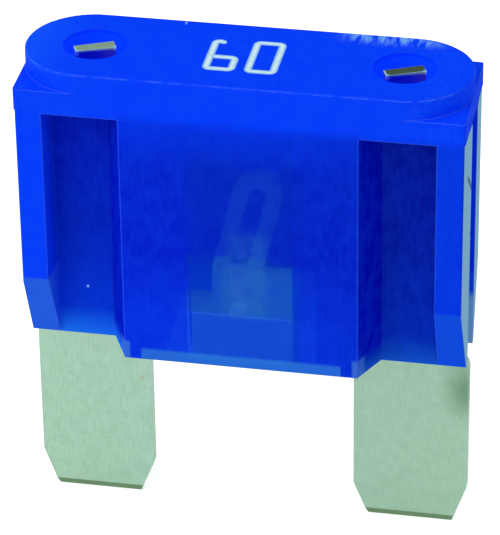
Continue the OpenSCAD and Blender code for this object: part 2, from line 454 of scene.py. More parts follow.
# %% Material: housing plastic, block and recesses
UPPER_Z = 28
MIDDLE_Z = 22
LOW_Z = 16.5
FOOT_GLOW_Z = FOOT_Z + 2.1
BLOCK_X = (0, BLOCK_HALF, 0.3)
BLOCK_Z = (BODY_MIDDLE_Z, BODY_HALF_H, 0.8)
RECESS_X = (0, FLANGE_IN, 0.1)
RECESS_Y = (0, FACE_Y - 0.35, 0.5)
RECESS_Z = (BODY_MIDDLE_Z, BODY_HALF_H, 0.2)
plastic, tree, plastic_surface = new_material("blue_housing_plastic")
places = use_group(tree, position_group)
place, folded_place = places["Position"], places["Folded"]
height = add(tree, "SeparateXYZ", {0: place}).outputs[2]
block_colour = colour_by_height(tree, height, [
    (FOOT_Z, BLOCK_LOW), (LOW_Z, BLOCK_LOW), (MIDDLE_Z, BLOCK_MIDDLE), (UPPER_Z, BLOCK_UPPER),
    (LIP_Z, BLOCK_TOP)])
recess_colour = colour_by_height(tree, height, [
    (FOOT_Z, RECESS_FOOT), (FOOT_GLOW_Z, RECESS_LOW), (LOW_Z, RECESS_LOW),
    (MIDDLE_Z, RECESS_MIDDLE), (UPPER_Z, RECESS_UPPER), (RECESS_TOP_Z, RECESS_TOP)])
in_block = zone(tree, place, x=BLOCK_X, z=BLOCK_Z)
in_recess = zone(tree, folded_place, x=RECESS_X, y=RECESS_Y, z=RECESS_Z)
colour = lay_over(tree, HEAD_BLUE, block_colour, in_block)
colour = lay_over(tree, colour, recess_colour, in_recess)
print("block and recesses:", len(tree.nodes), "nodes")

# %% [markdown]
# ## The housing's plastic: walls, feet and sides
# Some places get their light in another way than the broad faces. The slanted walls of the block
# turn away from it and are darker, and so is the right side. The slanted feet of the flanges and
# the block's lower corners stand near the white table and are paler, and so is the left end of the
# crown, which is nearest to the lamp. Bounced light alone does only a part of this, because the
# plastic is no real volume here. The rest is painted light and shade in the colour, with one soft
# zone for each place.

# %% Material: housing plastic, walls, feet and sides
LEFT_FLANGE_FOOT_LIGHT = swatch(38, 96, 230)
RIGHT_FLANGE_FOOT_LIGHT = swatch(16, 90, 253)
SHADE_BLUE = swatch(1, 26, 150)
RECESS_SHADE = swatch(1, 18, 132)
LEFT_WALL_SHADE = swatch(1, 20, 192)
RIGHT_WALL_SHADE = swatch(1, 8, 182)
CORNER_LIGHT = swatch(76, 136, 204)
LEFT_END_LIGHT = swatch(16, 84, 252)
RIGHT_X = (END_X, END_X, 1)
FLANGE_FOOT_Z = (FOOT_Z, FLANGE_CUT_Z - FOOT_Z, 0.2)
RIGHT_SIDE_X = (END_X, END_X - 5, 8)
RIGHT_SIDE_Z = (BODY_MIDDLE_Z, BODY_HALF_H, 1)
WALL_X = (BLOCK_HALF + BLOCK_SLANT / 2, BLOCK_SLANT / 2 + 0.06, 0.08)
WALL_Y = (0, FACE_Y - 0.1, 0.1)
WALL_Z = (BODY_MIDDLE_Z, BODY_HALF_H, 0.4)
WALL_FOOT_Z = (FOOT_Z, 1, 1.5)
CORNER_X = (BLOCK_HALF, 0.35, 0.2)
CORNER_Z = (FOOT_Z, 1.3, 0.3)
LEFT_END_X = (-END_X, 1.5, 5)
LEFT_END_Z = (CROWN_Z, 0.4, 0.5)
RIGHT_SIDE_SHARE = 0.3
RIGHT_RECESS_SHARE = 0.35
CORNER_SHARE = 0.5
on_right = zone(tree, place, x=RIGHT_X)
past_flange = outside(tree, zone(tree, place, x=RECESS_X))
low_down = zone(tree, place, z=FLANGE_FOOT_Z)
# painted light on the slanted feet of the flanges
flange_foot_light = blend(tree, on_right, LEFT_FLANGE_FOOT_LIGHT, RIGHT_FLANGE_FOOT_LIGHT)
colour = lay_over(tree, colour, flange_foot_light, past_flange, low_down)
# painted shade on the right side and in the right recess
right_side = zone(tree, place, x=RIGHT_SIDE_X, z=RIGHT_SIDE_Z)
colour = lay_over(tree, colour, SHADE_BLUE, right_side, RIGHT_SIDE_SHARE)
colour = lay_over(tree, colour, RECESS_SHADE, in_recess, on_right, RIGHT_RECESS_SHARE)
# painted shade on the block's slanted walls
at_wall = zone(tree, folded_place, x=WALL_X, y=WALL_Y, z=WALL_Z)
above_wall_foot = outside(tree, zone(tree, place, z=WALL_FOOT_Z))
wall_shade = blend(tree, on_right, LEFT_WALL_SHADE, RIGHT_WALL_SHADE)
colour = lay_over(tree, colour, wall_shade, at_wall, above_wall_foot)
# painted light at the block's lower corners
at_corner = zone(tree, folded_place, x=CORNER_X, z=CORNER_Z)
colour = lay_over(tree, colour, CORNER_LIGHT, at_corner, CORNER_SHARE)
# painted light at the left end of the crown, nearest the lamp
at_left_end = zone(tree, place, x=LEFT_END_X, z=LEFT_END_Z)
colour = lay_over(tree, colour, LEFT_END_LIGHT, at_left_end)
print("with walls, feet and sides:", len(tree.nodes), "nodes")

# %% [markdown]
# ## The housing's plastic: flow and painted sheen
# Resin that flowed into the mould leaves faint clouds, a little stronger towards the two ends of
# the crown, and wiping leaves faint streaks. The end faces under the lip carry a painted sheen, so
# that they look pale at a flat angle. A pale colour would show from all sides, but a sheen grows
# with the angle of view, and Layer Weight gives that. At the foot the end faces are pale from
# every side.

# %% Material: housing plastic, flow, painted sheen and pale foot
FLOW_BLUE = swatch(20, 84, 250)
END_PALE = swatch(130, 180, 212)
BY_ENDS_X = (END_X, 4, 5)
BY_ENDS_Z = (CROWN_Z, 3, 1)
BETWEEN_ENDS_X = (0, END_X - 0.12, 0.1)
UNDER_LIP_Z = (0, LIP_Z, 0.1)
PALE_FOOT_TOP_Z = 17.2
PALE_FOOT_X = (END_X, 0.7, 0.1)
PALE_FOOT_Y = (0, 1.3, 0.1)
PALE_FOOT_Z = (FOOT_Z, PALE_FOOT_TOP_Z - FOOT_Z, 0.8)
SHEEN_STARTS = 0.6
SHEEN_FULL = 0.82
FLOW_SHARE = 0.1
WIPES_SHARE = 0.08
BLOOM_SHARE = 0.35
PALE_FOOT_SHARE = 0.8
flow = clouds(tree, place, Scale=0.9, Detail=4.0)
wipes = streaks(tree, place, Lines_Per_mm=(4.0, 0.7, 0.9))
bloom = clouds(tree, place, Scale=2.8, Detail=5.0, Low=0.4, High=0.7)
by_ends = zone(tree, folded_place, x=BY_ENDS_X, z=BY_ENDS_Z)
colour = lay_over(tree, colour, FLOW_BLUE, flow, FLOW_SHARE)
colour = lay_over(tree, colour, FLOW_BLUE, wipes, WIPES_SHARE)
colour = lay_over(tree, colour, FLOW_BLUE, by_ends, bloom, BLOOM_SHARE)
on_end = outside(tree, zone(tree, place, x=BETWEEN_ENDS_X))
under_lip = zone(tree, place, z=UNDER_LIP_Z)
flat_view = add(tree, "LayerWeight", {"Blend": 0.5}).outputs["Facing"]
painted_sheen = rise(tree, flat_view, SHEEN_STARTS, SHEEN_FULL, soft=False)
# painted sheen: the end faces turn pale at a flat angle of view
colour = lay_over(tree, colour, END_PALE, on_end, under_lip, painted_sheen)
pale_foot = zone(tree, folded_place, x=PALE_FOOT_X, y=PALE_FOOT_Y, z=PALE_FOOT_Z)
colour = lay_over(tree, colour, END_PALE, pale_foot, PALE_FOOT_SHARE)
print("with flow and haze:", len(tree.nodes), "nodes")

# %% [markdown]
# ## The housing's plastic: scuffs and single marks
# The back of the crown is scuffed on the right, with streaks that run out on both sides. Its back
# edge has one small nick, the left recess one pale dot, and the right end a fine bent scratch with
# a speck below, on the face's slight swell. They could be cut into the form, but they are only as
# deep as a scratch, so each is a stroke of colour at its place.

# %% Material: housing plastic, scuffs and single marks
SCUFF_PALE = swatch(120, 184, 236)
NICK_PALE = swatch(150, 200, 245)
SCRATCH_DARK = swatch(52, 84, 92)
SCUFF_X = (8.8, 2.9, 2.2)
SCUFF_Y = (3.9, 0.6, 1.6)
SCUFF_Z = (CROWN_Z, 0.3, 0.3)
NICK_START = (-4.86, 4.2, CROWN_Z)
NICK_END = (-4.83, 3.7, CROWN_Z)
NICK_HALF_W = 0.1
NICK_SHARE = 0.7
DOT_PLACE = (-10.71, -WEB_Y, 17.09)
DOT_R = 0.16
SWOLLEN_X = END_X + 0.08
SCRATCH_TOP = (SWOLLEN_X, -2.57, 28.19)
SCRATCH_BEND = (SWOLLEN_X, -0.55, 25.94)
SCRATCH_FOOT = (SWOLLEN_X, -0.12, 24.95)
SCRATCH_HALF_W = 0.26
SPECK_PLACE = (SWOLLEN_X, -1.33, 23.42)
SPECK_R = 0.3
at_scuff = zone(tree, place, x=SCUFF_X, y=SCUFF_Y, z=SCUFF_Z)
scuffs = streaks(tree, place, Lines_Per_mm=(2.8, 0.8, 1.0), Low=0.4, High=0.66)
colour = lay_over(tree, colour, SCUFF_PALE, at_scuff, scuffs)
nick = times(tree, mark(tree, place, NICK_START, NICK_END, NICK_HALF_W), NICK_SHARE)
dot = mark(tree, place, DOT_PLACE, DOT_PLACE, DOT_R)
colour = lay_over(tree, colour, NICK_PALE, either(tree, nick, dot))
scratch = either(tree, mark(tree, place, SCRATCH_TOP, SCRATCH_BEND, SCRATCH_HALF_W),
                 mark(tree, place, SCRATCH_BEND, SCRATCH_FOOT, SCRATCH_HALF_W))
speck = mark(tree, place, SPECK_PLACE, SPECK_PLACE, SPECK_R)
colour = lay_over(tree, colour, SCRATCH_DARK, either(tree, scratch, speck))
print("with its marks:", len(tree.nodes), "nodes")

# %% [markdown]
# ## A soft band of plain nodes
# Where the wall shows the link, the material chooses between two kinds of surface, plastic and
# clear. Such a choice is more than a colour, so it stays in the material, in plain nodes and
# without a node group. `band` gives it: one between two levels of a coordinate, and nothing
# outside. A band is written as its lower level, its upper level and the width of its fade. The
# coordinates are the same part millimetres as in the group, made anew.

# %% Helper: a soft band
def band(tree, value, low, high, fade):
    """One where a value lies between two levels, with soft ends. It needs no group."""
    past_low = rise(tree, value, low - fade / 2, low + fade / 2)
    before_high = rise(tree, value, high + fade / 2, high - fade / 2)
    return times(tree, past_low, before_high)


own_coordinate = add(tree, "TexCoord").outputs["Object"]
own_place = add(tree, "VectorMath", {0: own_coordinate, "Scale": 1 / MM},
                operation="SCALE").outputs[0]
own_x, own_y, own_z = add(tree, "SeparateXYZ", {0: own_place}).outputs
print("soft band ready")

# %% [markdown]
# ## The housing's plastic: the wall in front of the link
# Over the hollow the wall carries painted shade, in its lower half it is one even blue, and at the
# foot, where the hollow opens in a wide mouth, it has a pale strip of painted light. The link is
# bright, and throws cloudy light back into the wall: round its arch, over its feet and between its
# legs. A renderer finds such light only in a real volume, so it is painted into the wall's colour.

# %% Material: housing plastic, the wall in front of the link
WINDOW_BLUE = swatch(2, 50, 206)
MOUTH_LIGHT = swatch(38, 104, 216)
LINK_LIGHT = swatch(40, 104, 190)
HOLLOW_X = (0.4, 3.6, 1.6)
HOLLOW_Z = (23.5, 5.5, 2.5)
HOLLOW_SHARE = 0.22
WINDOW_X = (0.4, 3.6, 0.3)
WINDOW_Z = (FOOT_Z, 7.5, 2.5)
MOUTH_X = (0, MOUTH_HALF, 0.1)
MOUTH_Z = (FOOT_Z, MOUTH_H, 0.3)
BY_ARCH_X = (0.6, 1.1, 1.3)
BY_ARCH_Z = (22.3, 1.3, 1.8)
BY_FEET_X = (0.4, 1.4, 1)
BY_FEET_Z = (19.3, 1.9, 0.8)
BETWEEN_LEGS_X = (-0.66, 0.54, 0.3)
BETWEEN_LEGS_Z = (17.2, 21.4, 0.4)
FRONT_Y = (-FACE_Y - 1, 1 - FACE_Y, 0.1)
EVEN_SHARE = 0.18
CLOUDY_SHARE = 0.25
LEGS_SHARE = 0.4
over_hollow = zone(tree, place, x=HOLLOW_X, z=HOLLOW_Z)
window_zone = zone(tree, place, x=WINDOW_X, z=WINDOW_Z)
at_mouth = zone(tree, place, x=MOUTH_X, z=MOUTH_Z)
# painted shade over the hollow, then painted light at the mouth and from the link
colour = lay_over(tree, colour, SHADE_BLUE, over_hollow, HOLLOW_SHARE)
colour = lay_over(tree, colour, WINDOW_BLUE, window_zone)
colour = lay_over(tree, colour, MOUTH_LIGHT, at_mouth)
by_arch = zone(tree, place, x=BY_ARCH_X, z=BY_ARCH_Z)
by_feet = zone(tree, place, x=BY_FEET_X, z=BY_FEET_Z)
link_cloud = clouds(tree, place, Scale=1.3, Detail=6.0, Low=0.3, High=0.6)
cloudy_light = maths(tree, "ADD", times(tree, link_cloud, CLOUDY_SHARE), EVEN_SHARE)
between_legs = times(tree, band(tree, own_x, *BETWEEN_LEGS_X),
                     band(tree, own_z, *BETWEEN_LEGS_Z), band(tree, own_y, *FRONT_Y))
link_light = maths(tree, "ADD", times(tree, either(tree, by_arch, by_feet), cloudy_light),
                   times(tree, between_legs, LEGS_SHARE))
colour = lay_over(tree, colour, LINK_LIGHT, link_light)
print("with the link's light:", len(tree.nodes), "nodes")

# %% [markdown]
# ## The housing's plastic: edges
# All edges are rounded a little for the light, and a painted highlight makes them paler, less so in
# the recesses, where hardly any light reaches them. The wells are left out, because the mask would
# ring them with a false line. Along the rim of the crown the painted highlight comes and goes in
# dashes.

# %% Material: housing plastic, edges
EDGE_HIGHLIGHT_BLUE = swatch(96, 150, 246)
EDGE_MM = 0.12
WELL_SIDES_X = (WELL_X, WELL_R + 0.2, 0.1)
WELL_SIDES_Y = (0, WELL_R + 0.2, 0.1)
WELL_MOUTH_Z = (CROWN_Z, 1.5, 0.1)
RIM_Z = (CROWN_Z - 0.09, 0.05, 0.05)
EDGE_SHARE = 0.3
RECESS_EDGE_LOSS = 0.8
RIM_SHARE = 0.18
not_well = outside(tree, zone(tree, folded_place, x=WELL_SIDES_X, y=WELL_SIDES_Y, z=WELL_MOUTH_Z))
edges = use_group(tree, edge_group, Radius=times(tree, not_well, EDGE_MM * MM))
in_reach = outside(tree, times(tree, in_recess, RECESS_EDGE_LOSS))
# painted highlight along the edges
colour = lay_over(tree, colour, EDGE_HIGHLIGHT_BLUE, edges["Mask"], not_well, in_reach, EDGE_SHARE)
on_rim = zone(tree, place, z=RIM_Z)
dashes = streaks(tree, place, Lines_Per_mm=(2.2, 0.6, 0.1), Low=0.35, High=0.6)
# painted highlight in dashes along the crown's rim
colour = lay_over(tree, colour, EDGE_HIGHLIGHT_BLUE, on_rim, dashes, not_well, RIM_SHARE)
print("with its edges:", len(tree.nodes), "nodes")

# %% [markdown]
# ## The housing's plastic: its skin
# The plastic shows next to no mirror gloss, so its skin is matt, with a trace of coat. Light soaks
# through the resin from all sides and brightens the wells and the hollow. Scattered rays in a
# volume would get there too, but slowly. Here the surface gives off a weak light of its own in the
# wells and on the hollow's inner side.

# %% Material: housing plastic, its skin
INNER_BLUE = swatch(90, 160, 215)
IN_WELL_Z = (WELL_Z, 1, 0.5)
BLACK = (0, 0, 0, 1)
WELL_GLOW = 0.45
INNER_GLOW = 0.3
CHAMBER_X = (-CHAMBER_HALF, CHAMBER_HALF, 0.15)
CHAMBER_Z = (FOOT_Z, CHAMBER_ROOF_Z, 0.3)
BETWEEN_FACES_Y = (0.2 - FACE_Y, FACE_Y - 0.2, 0.1)
chamber_high = band(tree, own_z, *CHAMBER_Z)
in_chamber = times(tree, band(tree, own_x, *CHAMBER_X), chamber_high)
outer_face = outside(tree, band(tree, own_y, *BETWEEN_FACES_Y))
inner_face = outside(tree, outer_face)
in_well = zone(tree, folded_place, x=WELL_SIDES_X, y=WELL_SIDES_Y, z=IN_WELL_Z)
soaked = lay_over(tree, BLACK, HEAD_BLUE, in_well, WELL_GLOW)
soaked = lay_over(tree, soaked, INNER_BLUE, in_chamber, inner_face, INNER_GLOW)
plastic_skin = add(tree, "BsdfPrincipled", {
    "Base Color": colour, "Roughness": 0.35, "IOR": 1.5, "Specular IOR Level": 0.0,
    "Coat Weight": 0.02, "Coat Roughness": 0.15, "Coat IOR": 1.5, "Normal": edges["Normal"],
    "Emission Color": soaked, "Emission Strength": 1.0,
})
print("plastic skin ready")

# %% [markdown]
# ## The housing's plastic: its window
# In front of the hollow the wall is thin, and the link shows through it as a dim pale shape, most
# of all at its feet. Glass that bends light would be true to the resin, but it needs many bounces
# and clears the whole wall. Here the surface there is partly clear, and tinted. The inner side of
# each wall lets a ray out again unchanged, so that every wall tints once. Shadow and bounce rays
# pass the thin wall, which lights the link inside.

# %% Material: housing plastic, its window
WINDOW_TINT = (0.04, 0.3, 0.7, 1.0)
CHAMBER_OPEN = 0.03
WINDOW_OPEN = 0.08
FEET_OPEN = 0.24
PANE_X = (-WINDOW_HALF, WINDOW_HALF, 0.2)
FEET_SEEN_Z = (17.4, 21.8, 0.5)
FROST_LOW = 0.25
FROST_HIGH = 0.75
FROST_LEAST = 0.7
FROST_MOST = 1.2
LEGS_HIDDEN = 0.85
LIT_INSIDE = 0.85
in_window = times(tree, band(tree, own_x, *PANE_X), chamber_high)
at_feet = band(tree, own_z, *FEET_SEEN_Z)
frost = add(tree, "TexNoise", {
    "Vector": own_place, "Scale": 2.2, "Detail": 6.0, "Roughness": 0.6}).outputs["Fac"]
uneven = add(tree, "MapRange", {
    "Value": frost, "From Min": FROST_LOW, "From Max": FROST_HIGH,
    "To Min": FROST_LEAST, "To Max": FROST_MOST,
}, interpolation_type="SMOOTHSTEP").outputs[0]
feet_share = maths(tree, "ADD", times(tree, at_feet, FEET_OPEN), WINDOW_OPEN)
beside_legs = outside(tree, times(tree, between_legs, LEGS_HIDDEN))
window_share = times(tree, in_window, feet_share, uneven, beside_legs)
clear_wall = maths(tree, "ADD", times(tree, in_chamber, CHAMBER_OPEN), window_share)
see_in = times(tree, clear_wall, outer_face)
leaving = add(tree, "NewGeometry").outputs["Backfacing"]
ray = add(tree, "LightPath").outputs
soaking = times(tree, either(tree, ray["Is Shadow Ray"], ray["Is Diffuse Ray"]), LIT_INSIDE)
pass_on = times(tree, either(tree, leaving, soaking), in_chamber)
tinted = add(tree, "BsdfTransparent", {"Color": WINDOW_TINT})
clear = add(tree, "BsdfTransparent")
walled = add(tree, "MixShader", {0: see_in, 1: plastic_skin.outputs[0], 2: tinted.outputs[0]})
both_ways = add(tree, "MixShader", {0: pass_on, 1: walled.outputs[0], 2: clear.outputs[0]})
tree.links.new(both_ways.outputs[0], plastic_surface)
housing.data.materials.clear()
housing.data.materials.append(plastic)
print("housing plastic:", len(tree.nodes), "nodes")

# %% [markdown]
# ## The tinned strip: blades
# The strip is zinc alloy with a dull tin plate. It was rolled, so fine lines run along the blades,
# and it was handled, so it is blotchy, with a few dark specks and one brown stain. It could be
# painted as grey plastic, but a metallic surface with a rough gloss takes its brightness from what
# stands round it, as tin does. The bevelled tips are darker and greyer. Light and shade that such
# a dull metal shows only faintly are painted into its colour: the right blade a little duller, a
# line of shade where the blades come out of the housing, and a soft patch of shade at the outer
# edge of the right blade.

# %% Material: tinned zinc, blades
TIN = swatch(159, 193, 170)
TIN_DULL_AND_SHADE = swatch(132, 164, 140)
TIN_SHADE_AND_SPECKS = swatch(76, 116, 88)
TIP_GREY = swatch(90, 124, 84)
STAIN_BROWN = swatch(170, 128, 110)
TIP_Z = (0, 0.52, 0.08)
CONTACT_Z = (FOOT_Z, 0.15, 0.5)
SHADED_X = (14.3, 0.9, 2.4)
SHADED_Z = (10.7, 1.6, 3.4)
STAIN_PLACE = (-7.5, -0.4, 9.3)
STAIN_R = 0.24
ROLLING_SHARE = 0.26
BLOTCH_SHARE = 0.14
RIGHT_BLADE_SHADE_SHARE = 0.3
SHADED_SHARE = 0.75
SPECKS_SHARE = 0.4
TIP_SHARE = 0.9
CONTACT_SHARE = 0.45
STAIN_SHARE = 0.5
tin, tree, tin_surface = new_material("tinned_zinc_strip")
places = use_group(tree, position_group)
place, folded_place = places["Position"], places["Folded"]
rolling = streaks(tree, place, Lines_Per_mm=(10.0, 10.0, 0.9))
blotches = clouds(tree, place, Scale=1.6, Detail=6.0, Low=0.3, High=0.7)
specks = clouds(tree, place, Scale=6.0, Low=0.66, High=0.72)
on_right = zone(tree, place, x=RIGHT_X)
shaded = zone(tree, place, x=SHADED_X, z=SHADED_Z)
at_tip = zone(tree, place, z=TIP_Z)
under_housing = zone(tree, place, z=CONTACT_Z)
stain = mark(tree, place, STAIN_PLACE, STAIN_PLACE, STAIN_R)
colour = TIN
# the right blade's duller tone, its edge patch and the line under the housing are painted shade
for cover, mask, strength in (
    (TIN_DULL_AND_SHADE, rolling, ROLLING_SHARE),
    (TIN_DULL_AND_SHADE, blotches, BLOTCH_SHARE),
    (TIN_DULL_AND_SHADE, on_right, RIGHT_BLADE_SHADE_SHARE),
    (TIN_SHADE_AND_SPECKS, shaded, SHADED_SHARE),
    (TIN_SHADE_AND_SPECKS, specks, SPECKS_SHARE),
    (TIP_GREY, at_tip, TIP_SHARE),
    (TIN_SHADE_AND_SPECKS, under_housing, CONTACT_SHARE),
    (STAIN_BROWN, stain, STAIN_SHARE),
):
    colour = lay_over(tree, colour, cover, mask, strength)
print("tinned blades:", len(tree.nodes), "nodes")

# %% [markdown]
# ## The tinned strip: tabs and link
# The tabs' ends are bare zinc from the shears, the right one darker in painted shade. The shears
# left burrs at two corners of each end and along its edge, painted as bright glints. They are drawn
# as strokes, and a loop lays the same strokes on both tabs. The tabs' sides carry a painted
# reflection of the deep blue of the wells. Inside the housing the link stands in the light that
# soaks through the plastic, so it is painted lighter there and gives off a weak light of its own.

# %% Material: tinned zinc, tabs and link
BARE_ZINC = swatch(126, 158, 128)
BARE_ZINC_SHADED = swatch(46, 76, 42)
WELL_GLINT = swatch(1, 8, 158)
BURR_GLINT = swatch(150, 202, 226)
LIT_LINK = swatch(196, 206, 190)
TAB_END_Z = CROWN_Z - 0.15
TAB_TOP_Z = (TAB_END_Z, 0.06, 0.06)
TAB_SIDE_X = (WELL_X, WELL_R, 0.1)
TAB_SIDE_Y = (0, WELL_R, 0.1)
TAB_SIDE_Z = (WELL_Z, TAB_END_Z - WELL_Z - 0.12, 0.1)
INSIDE_X = (0, CHAMBER_HALF, 0.3)
INSIDE_Z = (CHAMBER_MIDDLE_Z, CHAMBER_HALF_H, 0.3)
FRONT_CORNER = (-1.05, -0.9, 0)
BACK_CORNER = (1.37, 0.17, 0)
DOWN_THE_TAB = (-1.05, -0.9, -0.4)
ROUND_THE_END = (-1.3, -0.3, 0)
BURRS = (
    (FRONT_CORNER, DOWN_THE_TAB, 0.34),
    (FRONT_CORNER, ROUND_THE_END, 0.14),
    (BACK_CORNER, BACK_CORNER, 0.32),
    (FRONT_CORNER, BACK_CORNER, 0.05),
)
LINK_GLOW = 0.3
tab_end = zone(tree, place, z=TAB_TOP_Z)
tab_side = zone(tree, folded_place, x=TAB_SIDE_X, y=TAB_SIDE_Y, z=TAB_SIDE_Z)
# painted reflection of the wells' deep blue on the tabs' sides
colour = lay_over(tree, colour, WELL_GLINT, tab_side)
# painted shade on the right tab's end
colour = lay_over(tree, colour, blend(tree, on_right, BARE_ZINC, BARE_ZINC_SHADED), tab_end)
# the burrs are real, their bright colour a painted glint
for middle_x in (-WELL_X, WELL_X):
    tab_middle = Vector((middle_x, 0, TAB_END_Z))
    for start, end, half_width in BURRS:
        burr = mark(tree, place, Vector(start) + tab_middle, Vector(end) + tab_middle, half_width)
        colour = lay_over(tree, colour, BURR_GLINT, burr)
inside = zone(tree, place, x=INSIDE_X, z=INSIDE_Z)
# painted light on the link inside the housing
colour = lay_over(tree, colour, LIT_LINK, inside)
soaked = lay_over(tree, BLACK, LIT_LINK, inside, LINK_GLOW)
print("with tabs and link:", len(tree.nodes), "nodes")

# %% [markdown]
# ## The tinned strip: its surface
# Tin plate is metal with a soft gloss, rougher where it is blotchy. One even metal would do from
# afar, but the tabs and the link carry painted colours of what surrounds them, so they are not
# metallic and show them as they are. The edges carry a painted highlight, and the rolling lines
# have a slight relief.

# %% Material: tinned zinc, its surface
TIN_EDGE_HIGHLIGHT = swatch(206, 228, 214)
TIN_EDGE_MM = 0.07
TIN_EDGE_SHARE = 0.3
TIN_METALLIC = 0.85
TIN_ROUGHNESS = 0.42
BLOTCH_ROUGHNESS = 0.1
GRAIN_MM = 0.01
GRAIN_STRENGTH = 0.12
plated = outside(tree, either(tree, either(tree, tab_end, tab_side), inside))
roughness = maths(tree, "ADD", times(tree, blotches, BLOTCH_ROUGHNESS), TIN_ROUGHNESS)
edges = use_group(tree, edge_group, Radius=TIN_EDGE_MM * MM)
# painted highlight along the tin's edges
colour = lay_over(tree, colour, TIN_EDGE_HIGHLIGHT, edges["Mask"], plated, TIN_EDGE_SHARE)
grain = add(tree, "Bump", {
    "Height": rolling, "Strength": GRAIN_STRENGTH, "Distance": GRAIN_MM * MM,
    "Normal": edges["Normal"],
})
tin_metal = add(tree, "BsdfPrincipled", {
    "Base Color": colour, "Metallic": times(tree, plated, TIN_METALLIC), "Roughness": roughness,
    "Normal": grain.outputs[0], "Emission Color": soaked, "Emission Strength": 1.0,
})
tree.links.new(tin_metal.outputs[0], tin_surface)
element.data.materials.clear()
element.data.materials.append(tin)
print("tinned zinc:", len(tree.nodes), "nodes")

# %% [markdown]
# ## The rating number
# The number is pad-printed in white on the crown: a soft pad lays down a film of ink a hundredth or
# two of a millimetre thick. A font could be used, but the printed figures are plain strokes of even
# width with round corners, so each is a ribbon laid along a path. The path's corners are rounded
# first, and then the ribbon is widened to both sides, which keeps the stroke even. Each point of
# the ribbon remembers how far it lies from the middle of the stroke, for the ink's rim.

# %% Helpers for the figures
def rounded_path(corners, steps=6):
    """Turns (x, y, radius) corners into the points of a path, with each corner as an arc."""
    places = [Vector(corner[:2]) for corner in corners]
    path = []
    for i, here in enumerate(places):
        radius = corners[i][2]
        if radius == 0:
            path.append(here)
            continue
        back = (places[i - 1] - here).normalized()
        ahead = (places[(i + 1) % len(places)] - here).normalized()
        half_turn = back.angle(ahead) / 2
        middle = here + (back + ahead).normalized() * (radius / math.sin(half_turn))
        start = here + back * (radius / math.tan(half_turn)) - middle
        end = here + ahead * (radius / math.tan(half_turn)) - middle
        for step in range(steps + 1):
            path.append(middle + start.lerp(end, step / steps).normalized() * radius)
    return path


CAP_DEGREES = (6, 30, 60, 90)


def lay_ribbon(mesh, path, half_width, closed, low, high):
    """Adds a ribbon along a flat path. Where the path is open, its first end is round."""
    across = mesh.verts.layers.float.get("across") or mesh.verts.layers.float.new("across")
    stations = [(here, half_width) for here in path]
    if not closed:
        first, outward = path[0], (path[0] - path[1]).normalized()
        turns = [math.radians(degrees) for degrees in CAP_DEGREES]
        stations[:1] = [
            (first + outward * (half_width * math.cos(turn)), half_width * math.sin(turn))
            for turn in turns]
    count = len(stations)
    sections = []
    for i, (here, half) in enumerate(stations):
        came = (here - stations[i - 1][0]).normalized()
        goes = (stations[(i + 1) % count][0] - here).normalized()
        if not closed and i == 0:
            came = goes
        if not closed and i == count - 1:
            goes = came
        along = (came + goes).normalized()
        side = Vector((-along.y, along.x)) * (half / along.dot(came))
        ring = [(here + side, high, 1), (here, high, 0), (here - side, high, 1),
                (here - side, low, 1), (here + side, low, 1)]
        section = []
        for spot, level, far in ring:
            vert = mesh.verts.new((spot.x * MM, spot.y * MM, level * MM))
            vert[across] = far
            section.append(vert)
        sections.append(section)
    sides = len(sections[0])
    for i in range(count if closed else count - 1):
        first, second = sections[i], sections[(i + 1) % count]
        for k in range(sides):
            mesh.faces.new((first[k], second[k], second[(k + 1) % sides], first[(k + 1) % sides]))
    if not closed:
        mesh.faces.new(sections[0])
        mesh.faces.new(reversed(sections[-1]))


print("figure helpers ready")

# %% [markdown]
# ## The figures six and nought
# Both figures have the same height and width. The nought is one closed ribbon. The six could close
# its loop as well, but it was drawn as one stroke: it starts at a short hook with a round end,
# goes down and round the loop, and ends against its own side.

# %% Build the figures
STROKE_HALF = 0.25
FIGURE_W = 2.14
FIGURE_LOW_Y = -2.24
FIGURE_HIGH_Y = 2.12
SIX_X = -2.68
NOUGHT_X = 0.02
HOOK_REACH = 0.46
HOOK_DROOP = 0.26
SIX_LOOP_H = 1.6
BEND_R = 0.26
LOOP_BEND_R = 0.3
INK_LOW = CROWN_Z - 0.01
INK_HIGH = CROWN_Z + 0.015

low_y, high_y = FIGURE_LOW_Y + STROKE_HALF, FIGURE_HIGH_Y - STROKE_HALF
loop_y = low_y + SIX_LOOP_H
figures = bmesh.new()
left_x, right_x = NOUGHT_X + STROKE_HALF, NOUGHT_X + FIGURE_W - STROKE_HALF
nought = rounded_path([
    (left_x, low_y, BEND_R), (right_x, low_y, BEND_R), (right_x, high_y, BEND_R),
    (left_x, high_y, BEND_R)])
lay_ribbon(figures, nought, STROKE_HALF, closed=True, low=INK_LOW, high=INK_HIGH)
left_x, right_x = SIX_X + STROKE_HALF, SIX_X + FIGURE_W - STROKE_HALF
six = rounded_path([
    (left_x + HOOK_REACH, high_y - HOOK_DROOP, 0), (left_x, high_y, BEND_R),
    (left_x, low_y, BEND_R), (right_x, low_y, BEND_R), (right_x, loop_y, LOOP_BEND_R),
    (left_x + STROKE_HALF, loop_y, 0)])
lay_ribbon(figures, six, STROKE_HALF, closed=False, low=INK_LOW, high=INK_HIGH)
bmesh.ops.recalc_face_normals(figures, faces=figures.faces)
print_mesh = bpy.data.meshes.new("rating_print")
figures.to_mesh(print_mesh)
figures.free()
rating_print = bpy.data.objects.new("rating_print", print_mesh)
bpy.context.scene.collection.objects.link(rating_print)
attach(rating_print, "root")
print("rating print:", len(print_mesh.polygons), "faces")

# %% [markdown]
# ## The ink
# Where the pad lifts off, the film is thickest along the middle of a stroke and runs out thin
# towards its rim, so the blue shines through there. The ink could be one flat white, but then the
# number would look pasted on. Here the colour goes from a cool white in the middle to pale blue at
# the rim, with a few starved spots, and the film has a slight relief.

